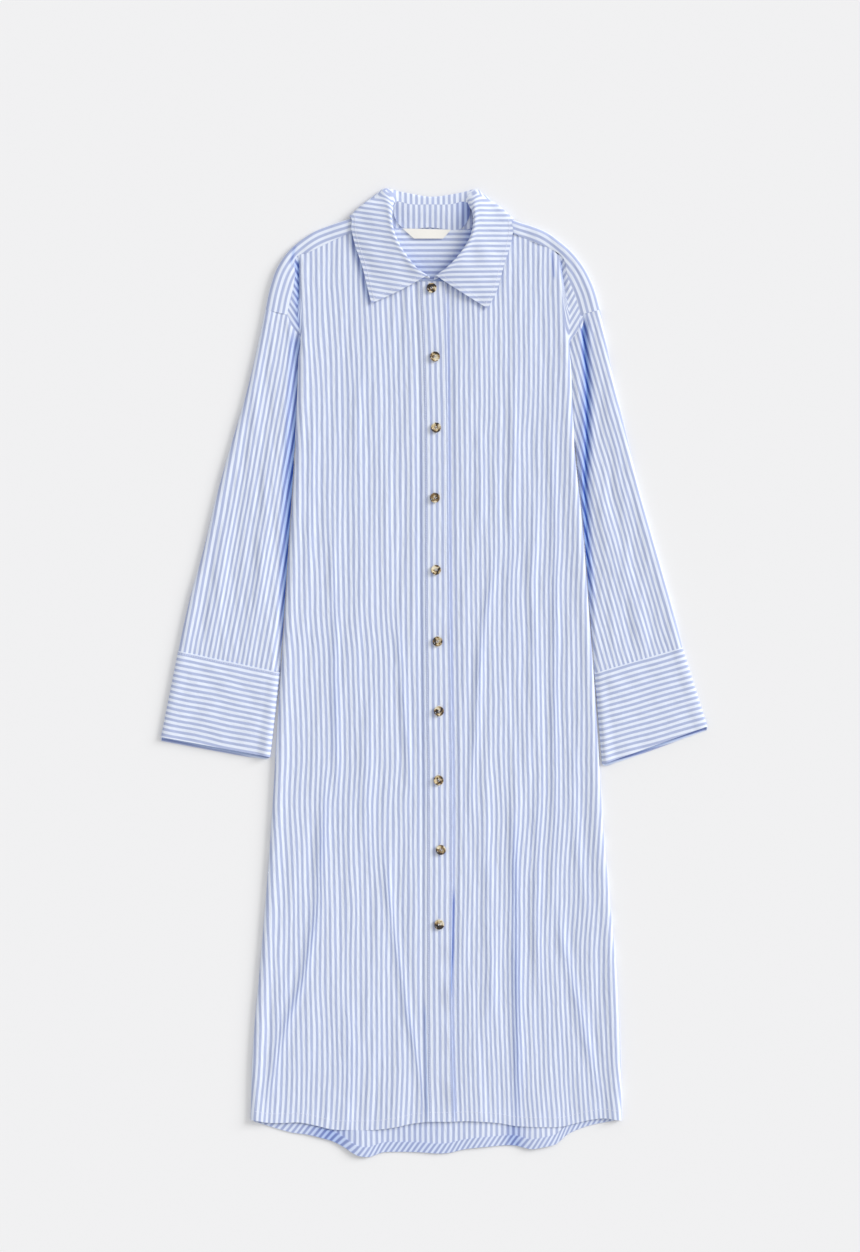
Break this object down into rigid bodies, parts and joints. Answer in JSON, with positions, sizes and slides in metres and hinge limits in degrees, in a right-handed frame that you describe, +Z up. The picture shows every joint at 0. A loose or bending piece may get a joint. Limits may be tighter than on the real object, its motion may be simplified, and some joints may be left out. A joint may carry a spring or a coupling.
{
  "type": "shirt dress",
  "caption": "Long-sleeved striped shirt dress laid flat on its back, with a turned-down collar, a buttoned front placket, drop shoulders, deep cuffs and a dipped hem.",
  "frame": {"origin": "centre of the bounding box, on the surface that the dress lies on", "axes": "+X across to the wearer's left, +Y along the dress from hem to collar, +Z up off the surface"},
  "size_m": [0.7111, 1.2585, 0.0166],
  "materials": {
    "striped_cloth": "matt woven cotton with narrow blue and white stripes",
    "button": "polished tortoiseshell",
    "label": "matt woven tape, bare"
  },
  "bodies": {
    "root": {"back": "striped_cloth", "yoke": "striped_cloth", "front_right": "striped_cloth", "front_left": "striped_cloth", "button_band": "striped_cloth", "buttonhole_band": "striped_cloth", "sleeve_right": "striped_cloth", "sleeve_left": "striped_cloth", "cuff_right": "striped_cloth", "cuff_left": "striped_cloth", "collar_stand": "striped_cloth", "collar": "striped_cloth", "neck_label": "label", "button_01": "button", "button_02": "button", "button_03": "button", "button_04": "button", "button_05": "button", "button_06": "button", "button_07": "button", "button_08": "button", "button_09": "button", "button_10": "button"}
  },
  "joints": []
}
